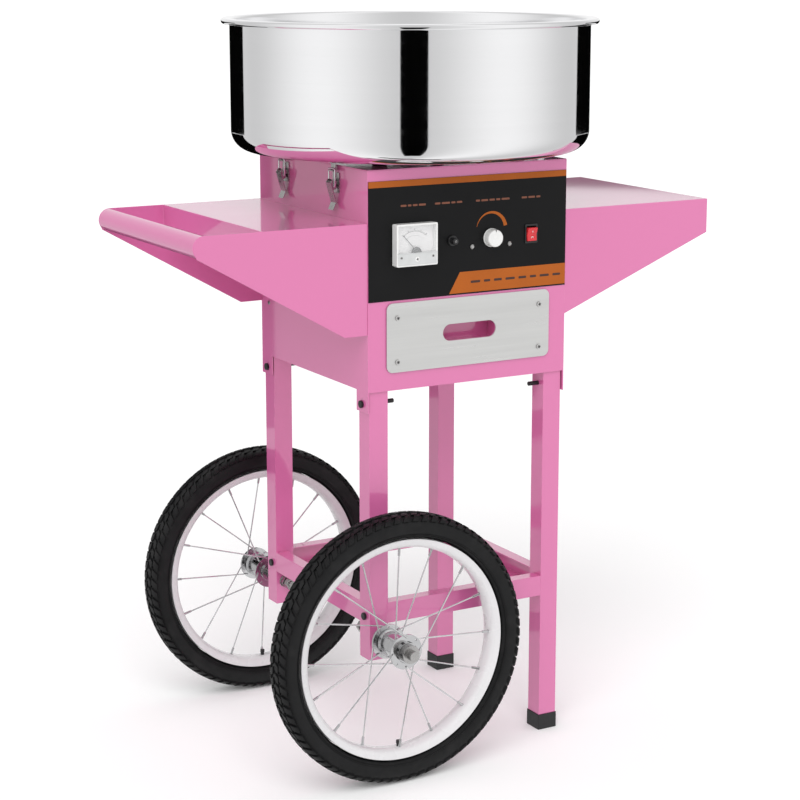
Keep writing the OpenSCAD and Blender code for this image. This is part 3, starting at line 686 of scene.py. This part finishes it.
def make_housing():
    rounded("housing", 0.9 * MM, 3)
    rounded("deck_plate", 0.5 * MM)
    rounded("bowl_pads", 1.2 * MM, 3)
    rounded("motor", 1.5 * MM, 3)
    rounded("motor_mount", 0.4 * MM)
    rounded("brush_holder", 0.5 * MM)
    rounded("carbon_brushes", 0.2 * MM)
    rounded("power_inlet", 0.7 * MM, 3)
    low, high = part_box("housing")
    mid = middle("housing")
    side_z = 602.5 * MM
    for name, x, out in (("left", low[0], -1), ("right", high[0], 1)):
        places = [(x, mid.y + s * 135 * MM, side_z) for s in (-1, 1)]
        make_screws(name + "_side_screws", places, (out, 0, 0), 3.0 * MM, 1.6 * MM)
    back = [(mid.x + s * 140 * MM, high[1], z) for s in (-1, 1) for z in (0.56, 0.68, 0.80)]
    make_screws("back_screws", back, (0, 1, 0), 3.4 * MM, 1.9 * MM)
    inlet = middle("power_inlet")
    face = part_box("power_inlet")[1][1]
    make_screws("inlet_screws", [(inlet.x + s * 20 * MM, face, inlet.z) for s in (-1, 1)], (0, 1, 0),
                2.6 * MM, 1.2 * MM)
    spots = ((-6, 1), (6, 1), (0, -3))
    pins = [rectangle(inlet.x + x * MM, inlet.z + z * MM, 2 * MM, 5 * MM) for x, z in spots]
    slab("inlet_pins", pins, face - 17 * MM, face - 5 * MM, "ring_brass", "body", 0.2 * MM)


def make_trays():
    for node in ("left_tray", "right_tray"):
        rounded(node, 0.6 * MM, 2)
    low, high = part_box("push_handle")
    radius = 16 * MM
    sheet = 1.5 * MM
    x, z = low[0] + radius, high[2] - radius
    outline = arc(x, z, radius, 96, 231, 40) + arc(x, z, radius - sheet, 230, 97, 40)
    slab("handle_roll", [outline], low[1], high[1], "pink_paint", "body", 0.4 * MM,
         stands_for=["push_handle"])


def make_legs():
    for end in ("front", "rear"):
        for side in ("left", "right"):
            rounded(f"{end}_{side}_leg", 1.0 * MM, 3)
    for node in ("front_rail", "rear_rail", "left_rail", "right_rail"):
        rounded(node, 0.4 * MM)
    rounded("foot_caps", 1.2 * MM, 3)
    rounded("frame_bolts", 0.9 * MM, 3)
    rounded("axle_bolts", 0.8 * MM, 3)
    rounded("drawer_runners", 0.3 * MM)


# ---------------------------------------------------------------- control panel

# For each label, in millimetres, its middle from the panel's middle and its width, and then how long
# its dashes are next to each other.
LABELS = (
    (-87.0, 38, (5, 3, 4, 6)),
    (-33.0, 42, (4, 6, 3, 4)),
    (36.0, 53, (3, 5, 4, 3, 6)),
    (97.0, 30, (4, 5, 3)),
)
LABEL_Z = 771
TITLE_START, TITLE_END, TITLE_Z = 2, 146, 662
TITLE_DASHES = (6, 4, 5, 6, 5, 4, 6, 5)


def word_bars(x, z, width, height, lengths, gap):
    """Short dashes in a row that fill a given width, standing in for a label."""
    unit = (width - gap * (len(lengths) - 1)) / sum(lengths)
    bars = []
    left = x - width / 2
    for length in lengths:
        bars.append(rectangle((left + unit * length / 2) * MM, z * MM, unit * length * MM, height * MM,
                              height * 0.3 * MM, 2))
        left += unit * length + gap
    return bars


def moved(outlines, dx):
    return [[(x + dx, z) for x, z in outline] for outline in outlines]


def make_panel():
    rounded("control_panel", 0.3 * MM)
    low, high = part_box("control_panel")
    mid = middle("control_panel").x
    face = low[1]
    proud = face - 0.15 * MM
    strip = rectangle(mid, high[2] - 4.25 * MM, high[0] - low[0] - 0.4 * MM, 8.3 * MM)
    band_top = 676.5 * MM
    band = [(mid - 31.5 * MM, low[2] + 2 * MM), (high[0] - 0.2 * MM, low[2] + 2 * MM),
            (high[0] - 0.2 * MM, band_top), (mid - 15 * MM, band_top)]
    slab("panel_bands", [strip, band], proud, face, "orange_print", "body")
    bars = []
    for x, width, lengths in LABELS:
        bars += word_bars(x, LABEL_Z, width, 2.6, lengths, 2.2)
    slab("panel_labels", moved(bars, mid), proud, face, "label_print", "body")
    title_mid, title_width = (TITLE_START + TITLE_END) / 2, TITLE_END - TITLE_START
    title = word_bars(title_mid, TITLE_Z, title_width, 3.2, TITLE_DASHES, 6)
    slab("panel_title", moved(title, mid), proud - 0.1 * MM, face, "dark_print", "body")
    make_crescent(mid, proud, face)


def make_crescent(mid, front, back):
    """The heat mark over the knob: an arc that grows from thin at the left to thick at the right."""
    centre_x, centre_z, radius = mid + 33.7 * MM, 731 * MM, 23 * MM
    steps = 36
    outer, inner = [], []
    for i in range(steps + 1):
        share = i / steps
        turn = math.radians(168 - 158 * share)
        half = (0.25 + 2.5 * share) * MM
        for side, points in ((1, outer), (-1, inner)):
            r = radius + side * half
            points.append((centre_x + r * math.cos(turn), centre_z + r * math.sin(turn)))
    slab("heat_mark", [outer + inner[::-1]], front, back, "orange_print", "body")


DIAL_START, DIAL_SWEEP = 132, 84
DIAL_STEPS = 20
DIAL_DEPTH = 8 * MM
NEEDLE_PIN_Z = 712.5 * MM


def make_voltmeter():
    """The panel meter's case, its dial with plain ticks, the needle's hub and a frosted lower cover."""
    rounded("voltmeter_case", 0.7 * MM, 3)
    low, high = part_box("voltmeter_window")
    case_low, case_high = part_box("voltmeter_case")
    mid = middle("voltmeter_window")
    dial_front = low[1] + DIAL_DEPTH - 0.4 * MM
    dial_back = low[1] + DIAL_DEPTH - 0.02 * MM
    dial = rectangle(mid.x, mid.z, high[0] - low[0] - 0.4 * MM, high[2] - low[2] - 0.4 * MM)
    slab("dial_card", [dial], dial_front, dial_back, "white_print", "body")
    pin_z = NEEDLE_PIN_Z
    marks = []
    steps = 40
    dial_end = DIAL_START - DIAL_SWEEP
    for radius, width in ((24.5, 0.35), (19.0, 0.2)):
        outer = arc(mid.x, pin_z, (radius + width) * MM, DIAL_START, dial_end, steps)
        marks.append(outer + arc(mid.x, pin_z, radius * MM, dial_end, DIAL_START, steps))
    for k in range(DIAL_STEPS + 1):
        turn = math.radians(DIAL_START - DIAL_SWEEP * k / DIAL_STEPS)
        length = 3.6 if k % 5 == 0 else 1.8
        width = 0.28 if k % 5 == 0 else 0.16
        along = Vector((math.cos(turn), math.sin(turn)))
        across = Vector((-along.y, along.x)) * width * MM
        start, end = along * 24.6 * MM, along * (24.6 + length) * MM
        corners = [start - across, end - across, end + across, start + across]
        marks.append([(mid.x + p.x, pin_z + p.y) for p in corners])
    slab("dial_marks", marks, dial_front - 0.12 * MM, dial_front, "black_plastic", "body")
    hub = arc(mid.x, low[2], 7.5 * MM, 0, 180, 24)
    slab("dial_hub", [hub], low[1] + 1.4 * MM, low[1] + 3.4 * MM, "black_plastic", "body", 0.4 * MM)
    cover_high = low[2] - 0.6 * MM
    cover_low = case_low[2] + 1.6 * MM
    cover = rectangle(mid.x, (cover_high + cover_low) / 2, case_high[0] - case_low[0] - 3 * MM,
                      cover_high - cover_low, 1.2 * MM)
    slab("meter_cover", [cover], case_low[1] + 0.25 * MM, case_low[1] + 1.2 * MM, "frosted_plastic", "body",
         0.2 * MM)
    rail = rectangle(mid.x, low[2] - 0.1 * MM, case_high[0] - case_low[0] - 2 * MM, 0.9 * MM)
    slab("meter_rail", [rail], case_low[1] - 0.02 * MM, case_low[1] + 1.0 * MM, "frosted_plastic", "body",
         0.15 * MM)
    front = case_low[1]
    screws = [(mid.x + s * 24 * MM, front + 0.2 * MM, 704 * MM) for s in (-1, 1)]
    make_screws("meter_screws", screws, (0, -1, 0), 1.7 * MM, 0.5 * MM)
    make_screws("meter_zero", [(mid.x, front + 0.3 * MM, 701 * MM)], (0, -1, 0), 3.2 * MM, 0.6 * MM,
                look="white_plastic")
    rounded("voltmeter_window", 0.3 * MM)


def make_knob():
    """Plain round knob with a soft front edge, a shallow dish and a dark pointer line."""
    low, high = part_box("heat_knob")
    at = middle("heat_knob")
    radius = (high[0] - low[0]) / 2
    length = 13 * MM
    back = low[1] + length
    edge = 2.2 * MM
    outline = [(0.0, 0.0), (radius - 0.5 * MM, 0.0), (radius, 0.5 * MM), (radius, 2.0 * MM)]
    outline += [(radius - 0.5 * MM, 2.6 * MM)]
    outline += arc(radius - 0.9 * MM - edge, length - edge, edge, 0, 78, 8)
    outline += [(radius * 0.70, length), (radius * 0.6, length - 0.35 * MM), (0.0, length - 0.5 * MM)]
    knob = lathe_bm([(max(r, AXIS_GAP), h) for r, h in outline], 96, closed=False)
    bmesh.ops.holes_fill(knob, edges=knob.edges)
    shaft_radius, shaft_start, shaft_end = 3 * MM, -0.2 * MM, back - high[1]
    shaft = lathe_bm([(AXIS_GAP, shaft_start), (shaft_radius, shaft_start), (shaft_radius, shaft_end),
                      (AXIS_GAP, shaft_end)], 32, closed=False)
    bmesh.ops.holes_fill(shaft, edges=shaft.edges)
    place = Matrix.Translation((at.x, back, at.z)) @ Matrix.Rotation(math.radians(90), 4, "X")
    both = bmesh.new()
    add_bm(both, knob, place)
    add_bm(both, shaft, place)
    place_piece("knob_cap", to_mesh("knob_cap", both), "white_plastic", "knob", ["heat_knob"])
    mark = rectangle(at.x, at.z + radius * 0.80, 0.9 * MM, radius * 0.26, 0.4 * MM, 3)
    slab("knob_pointer", [mark], low[1] - 0.02 * MM, low[1] + 0.8 * MM, "black_plastic", "knob")


ROCKER_REST_TILT = math.radians(8)
ROCKER_FACE_LEAN = math.atan2(2.0, 9.1)


def make_rocker():
    """The switch's two halves slope to a shallow valley, with a bar on one and a ring on the other."""
    rounded("switch_bezel", 0.5 * MM, 3)
    rounded("power_rocker", 0.8 * MM, 3)
    at = middle("switch_bezel")
    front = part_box("housing")[0][1]
    pivot = Matrix.Translation((at.x, front, at.z)) @ Matrix.Rotation(ROCKER_REST_TILT, 4, "X")
    for name, sign, outline in (
        ("rocker_bar", 1, [rectangle(0, 0, 0.7 * MM, 4 * MM)]),
        ("rocker_ring", -1, ring_outlines(1.9 * MM, 1.3 * MM)),
    ):
        face = pivot @ Matrix.Translation((0, -5.42 * MM, sign * 4.7 * MM))
        face = face @ Matrix.Rotation(-sign * ROCKER_FACE_LEAN, 4, "X")
        slab(name, outline, -0.12 * MM, 0.3 * MM, "white_print", "rocker", matrix=face)


def ring_outlines(outer, inner, pieces=24):
    """A flat ring as small four-sided plates."""
    plates = []
    for k in range(pieces):
        a, b = 360 * k / pieces, 360 * (k + 1) / pieces
        plates.append(arc(0, 0, outer, a, b, 1) + arc(0, 0, inner, b, a, 1))
    return plates


FUSE_RIBS = 18


def make_fuse():
    """The fuse's cap: a ribbed grip on a stem, with a small screw head in its face."""
    rounded("fuse_holder", 0.5 * MM, 3)
    low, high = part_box("fuse_cap")
    at = middle("fuse_cap")
    radius = (high[0] - low[0]) / 2
    length = 7.6 * MM
    edge = 1.2 * MM
    stem_radius, stem_end = 3 * MM, -15 * MM
    outline = [(AXIS_GAP, stem_end), (stem_radius, stem_end), (stem_radius, 0), (radius, 0)]
    outline += [(radius, length - edge)]
    outline += arc(radius - edge, length - edge, edge, 0, 90, 6) + [(AXIS_GAP, length)]
    cap = lathe_bm(outline, 48, closed=False)
    bmesh.ops.holes_fill(cap, edges=cap.edges)
    for k in range(FUSE_RIBS):
        rib = bmesh.new()
        bmesh.ops.create_cube(rib, size=1.0)
        turn = Matrix.Rotation(math.radians(360 / FUSE_RIBS * k), 4, "Z")
        rib.transform(turn @ Matrix.Translation((radius, 0, 3 * MM))
                      @ Matrix.Diagonal((0.5 * MM, 0.6 * MM, 4.6 * MM, 1)))
        add_bm(cap, rib, Matrix())
    place = Matrix.Translation((at.x, low[1] + length, at.z)) @ Matrix.Rotation(math.radians(90), 4, "X")
    cap.transform(place)
    place_piece("fuse_grip", to_mesh("fuse_grip", cap), "black_plastic", "fuse_plug", ["fuse_cap"])
    make_screws("fuse_slot", [(at.x, low[1] + 0.5 * MM, at.z)], (0, -1, 0), 2.2 * MM, 0.55 * MM, "fuse_plug")


DRAWER_SCREW_X = 111.3 * MM
DRAWER_SCREW_Z = (563.3 * MM, 622.6 * MM)


def make_drawer():
    rounded("drawer_tray", 0.3 * MM)
    rounded("drawer_front", 0.5 * MM, 3)
    mid = middle("drawer_front")
    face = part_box("drawer_front")[1][1] - 2 * MM
    places = [(mid.x + s * DRAWER_SCREW_X, face, z) for s in (-1, 1) for z in DRAWER_SCREW_Z]
    make_screws("drawer_screws", places, (0, -1, 0), 3.75 * MM, 1.75 * MM, "drawer")


# ---------------------------------------------------------------- latches


LATCH_Y = 75 * MM
RIVET_Z = 806 * MM


def make_latches():
    rounded("latch_bases", 0.3 * MM)
    rounded("bowl_keepers", 0.4 * MM)
    for side in ("left", "right"):
        for end in ("front", "rear"):
            rounded(f"lever_{end}_{side}", 0.35 * MM)
            make_bail(f"bail_{end}_{side}", f"latch_bail_{end}_{side}")
    low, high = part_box("housing")
    for name, x, out in (("left", low[0] - 1.5 * MM, -1), ("right", high[0] + 1.5 * MM, 1)):
        rivets = [(x, s * LATCH_Y, RIVET_Z) for s in (-1, 1)]
        make_screws(f"{name}_rivets", rivets, (out, 0, 0), 1.9 * MM, 0.9 * MM)


def make_bail(node, body):
    """A wire loop bent from one rod, with its two ends turned in through the lever."""
    low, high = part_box(node)
    mid = middle(node)
    wire = 1.05 * MM
    half = 8.7 * MM
    foot, top = low[2] + 1.6 * MM, high[2] - 1.6 * MM
    bend = 2.2 * MM
    up = arc(half - bend, top - bend, bend, 0, 90, 6)
    down = arc(half - bend, foot + bend * 0.6, bend * 0.6, 0, -90, 4)
    right = [(half - bend + 0.4 * MM, foot)] + down[::-1][1:] + [(half, foot + bend)] + up
    path = [(y, z) for y, z in right] + [(-y, z) for y, z in reversed(right)]
    bm = bmesh.new()
    add_tube(bm, [(mid.x, mid.y + y, z) for y, z in path], wire, 12)
    place_piece(node + "_wire", to_mesh(node + "_wire", bm), "spoke_chrome", body, [node], smooth=60)


# ---------------------------------------------------------------- wheels

TYRE_HALF = 22.5 * MM
TYRE_SEAT_GAP = 0.4 * MM
TYRE_SQUARENESS = 0.72
SHOULDER = math.radians(62)
LUGS = 80
LUG_DEPTH = 2.3 * MM


def on_circle(at, radius, turn, y):
    """A point on a circle about a wheel's axis, at its own place along the axis."""
    return Vector((at[0] + radius * math.cos(turn), y, at[2] + radius * math.sin(turn)))


def tyre_point(radius, rim, turn, shrink):
    """A point of the rounded tyre section, as (radius, distance from the wheel's middle plane)."""
    inner, outer = rim + TYRE_SEAT_GAP, radius - shrink
    mid, reach = (inner + outer) / 2, (outer - inner) / 2
    half = TYRE_HALF - shrink
    c, s = math.cos(turn), math.sin(turn)
    across = math.copysign(abs(c) ** TYRE_SQUARENESS, c)
    along = math.copysign(abs(s) ** TYRE_SQUARENESS, s)
    return Vector((mid + reach * across, half * along))


def tyre_outline(radius, rim, steps, shrink):
    """The whole section, all the way round."""
    return [tyre_point(radius, rim, 2 * math.pi * i / steps, shrink) for i in range(steps)]


def add_lug(bm, radius, rim, turn, share_a, share_b, skew, width, height):
    """One tread block over the crown. Its shares run from -1 at one shoulder to 1 at the other."""
    rows = 5
    tops, feet = [], []
    for i in range(rows + 1):
        f = i / rows
        share = share_a + (share_b - share_a) * f
        out = tyre_point(radius, rim, share * SHOULDER, 0.0)
        base = tyre_point(radius, rim, share * SHOULDER, height + 1.0 * MM)
        angle = turn + skew * f
        for sign in (-1, 1):
            a = angle + sign * width / 2
            b = angle + sign * width * 0.62
            tops.append(bm.verts.new((out.x * math.cos(a), out.x * math.sin(a), out.y)))
            feet.append(bm.verts.new((base.x * math.cos(b), base.x * math.sin(b), base.y)))
    for i in range(rows):
        a, b, c, d = 2 * i, 2 * i + 1, 2 * i + 3, 2 * i + 2
        bm.faces.new((tops[a], tops[b], tops[c], tops[d]))
        bm.faces.new((tops[a], tops[d], feet[d], feet[a]))
        bm.faces.new((tops[b], feet[b], feet[c], tops[c]))
        bm.faces.new((feet[a], feet[d], feet[c], feet[b]))
    bm.faces.new((tops[0], feet[0], feet[1], tops[1]))
    n = 2 * rows
    bm.faces.new((tops[n], tops[n + 1], feet[n + 1], feet[n]))


def make_tyre(end, at):
    low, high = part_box(end + "_tyre")
    radius = (high[2] - low[2]) / 2
    rim = (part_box(end + "_rim")[1][2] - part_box(end + "_rim")[0][2]) / 2
    bm = lathe_bm(tyre_outline(radius, rim, 44, LUG_DEPTH), 208)
    step = 2 * math.pi / LUGS
    for k in range(LUGS):
        for side in (-1, 1):
            turn = k * step + (0.5 * step if side > 0 else 0.0)
            for near, far, skew, width in ((0.42, 1.0, 0.45, 0.60), (0.05, 0.33, 0.30, 0.62)):
                add_lug(bm, radius, rim, turn, side * near, side * far, skew * step, width * step, LUG_DEPTH)
    for ring, swell in ((rim + 7 * MM, 0.5 * MM), (rim + 5.2 * MM, 0.35 * MM)):
        for side in (-1, 1):
            y = side * (TYRE_HALF - 2.5 * MM - (rim + 8 * MM - ring) * 0.75)
            add_bm(bm, lathe_bm(arc(ring, y, swell, 0, 315, 7), 160), Matrix())
    turn = Matrix.Rotation(math.radians(90), 4, "X")
    bm.transform(Matrix.Translation(at) @ turn)
    place_piece(end + "_tyre_shape", to_mesh(end + "_tyre_shape", bm), "tyre_rubber", end + "_wheel",
                [end + "_tyre"], smooth=50)


def make_rim(end, at):
    """Painted steel rim: a well between two rolled edges, and a sloping inner face."""
    low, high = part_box(end + "_rim")
    outer = (high[2] - low[2]) / 2
    half = (high[1] - low[1]) / 2
    inner = outer - 13 * MM
    lip = 1.3 * MM
    right = [(inner, 0.0), (inner + 0.2 * MM, half - 9 * MM), (inner + 2.2 * MM, half - 4 * MM),
             (inner + 5.5 * MM, half - 1.6 * MM), (outer - 2.5 * MM, half - 0.9 * MM)]
    right += arc(outer - lip, half - lip, lip, 60, -60, 6)
    right += [(outer - 2.8 * MM, half - 2.2 * MM), (inner + 6.5 * MM, half - 3.4 * MM),
              (inner + 3.4 * MM, half - 6 * MM), (inner + 1.8 * MM, 0.0)]
    left = [(r, -y) for r, y in reversed(right)]
    outline = right + left[1:-1]
    bm = lathe_bm(outline)
    bm.transform(Matrix.Translation(at) @ Matrix.Rotation(math.radians(90), 4, "X"))
    place_piece(end + "_rim_shape", to_mesh(end + "_rim_shape", bm), "white_rim", end + "_wheel",
                [end + "_rim"], smooth=40)
    valve = bmesh.new()
    foot = Vector((at[0], at[1], at[2] - inner - 1 * MM))
    add_tube(valve, [foot, foot + Vector((0, 0, 6 * MM))], 2.6 * MM, 16)
    add_tube(valve, [foot + Vector((0, 0, 5 * MM)), foot + Vector((0, 0, 9 * MM))], 3.2 * MM, 16)
    place_piece(end + "_valve", to_mesh(end + "_valve", valve), "black_rubber", end + "_wheel")


RIM_RADIUS = 305 * MM / 2
SPOKE_STOP = 12.4 * MM
SPOKE_CIRCLE = 20.5 * MM


def make_spokes(end, at, out):
    """Sixteen straight-pull wires, eight from each flange, each with a nipple at the rim."""
    wires, nipples = bmesh.new(), bmesh.new()
    reach = RIM_RADIUS - SPOKE_STOP
    nipple = [(0.2, 0), (2.3, 0), (2.3, 1.2), (1.75, 2.2), (1.75, 11), (1.2, 12), (0.2, 12)]
    nipple = [(r * MM, h * MM) for r, h in nipple]
    wheel_y = abs(at[1])
    step = 45
    for k in range(8):
        odd = k % 2
        turn = -step if odd else step
        for shift, hub_y, rim_y in ((0, 228.4 if odd else 233.6, 3), (step / 2, 184.6 if odd else 179.4, -3)):
            a, b = math.radians(k * step), math.radians(k * step + turn + shift)
            p = on_circle(at, SPOKE_CIRCLE, a, out * hub_y * MM)
            q = on_circle(at, reach, b, out * (wheel_y + rim_y * MM))
            inward = out * (-1 if (hub_y * MM > wheel_y) != bool(odd) else 1)
            bend = p + Vector((0, inward * 3.2 * MM, 0))
            add_tube(wires, [bend, p, p.lerp(q, 0.02), q], 1.0 * MM, 10)
            place = Matrix.Translation(q) @ turn_to((p - q).normalized())
            add_bm(nipples, lathe_bm(nipple, 16, closed=False), place)
    place_piece(end + "_wires", to_mesh(end + "_wires", wires), "spoke_chrome", end + "_wheel",
                [end + "_spokes"])
    place_piece(end + "_nipples", to_mesh(end + "_nipples", nipples), "hub_aluminium",
                end + "_wheel")


# Distances along the axle are from the cart's middle plane.
HUB_MIDDLE = 206.5 * MM
HUB_SEAL_Y = 236.6 * MM
NOTCHES = 8
NOTCH_CIRCLE = 13.9 * MM
NOTCH_Y = 234.3 * MM


def make_hub(end, at, out):
    """The hub with its seal, a collar inside each flange and small black blocks round its outer face: painted
    shade standing for its notches.
    """
    rounded(end + "_hub", 0.35 * MM)
    axis = "-Y" if out < 0 else "Y"
    ring = arc(10.6 * MM, HUB_SEAL_Y, 1.1 * MM, 0, 315, 7)
    lathe(end + "_seal", ring, "red_seal", end + "_wheel", (at[0], 0, at[2]), axis, 64)
    collar = [(15.4, 183.6), (17.6, 184.2), (17.6, 186.5), (15.4, 188)]
    collar = [(r * MM, h * MM) for r, h in collar]
    lathe(end + "_collar_in", collar, "hub_aluminium", end + "_wheel", (at[0], 0, at[2]), axis, 64)
    flipped = [(r, 2 * HUB_MIDDLE - h) for r, h in collar]
    lathe(end + "_collar_out", flipped, "hub_aluminium", end + "_wheel", (at[0], 0, at[2]), axis, 64)
    # Black blocks where the notches are: painted shade of the notch hollows, which are not cut.
    notch_shades = bmesh.new()
    for k in range(NOTCHES):
        turn = 2 * math.pi * (k + 0.5) / NOTCHES
        block = bmesh.new()
        bmesh.ops.create_cube(block, size=1.0)
        spot = on_circle(at, NOTCH_CIRCLE, turn, out * NOTCH_Y)
        add_bm(notch_shades, block, Matrix.Translation(spot) @ Matrix.Rotation(-turn, 4, "Y")
               @ Matrix.Diagonal((1.0 * MM, 2.4 * MM, 4.2 * MM, 1)))
    place_piece(end + "_notches", to_mesh(end + "_notches", notch_shades), "black_plastic", end + "_wheel")


def make_wheels():
    for end, out in (("front", -1), ("rear", 1)):
        at = middle(end + "_tyre")
        at = (at.x, at.y, at.z)
        make_tyre(end, at)
        make_rim(end, at)
        make_spokes(end, at, out)
        make_hub(end, at, out)


# ---------------------------------------------------------------- all of it

make_camera()
make_studio()
paint_nodes()
make_bowl()
make_spinner()
make_housing()
make_trays()
make_legs()
make_panel()
make_voltmeter()
make_knob()
make_rocker()
make_fuse()
make_drawer()
make_latches()
make_wheels()
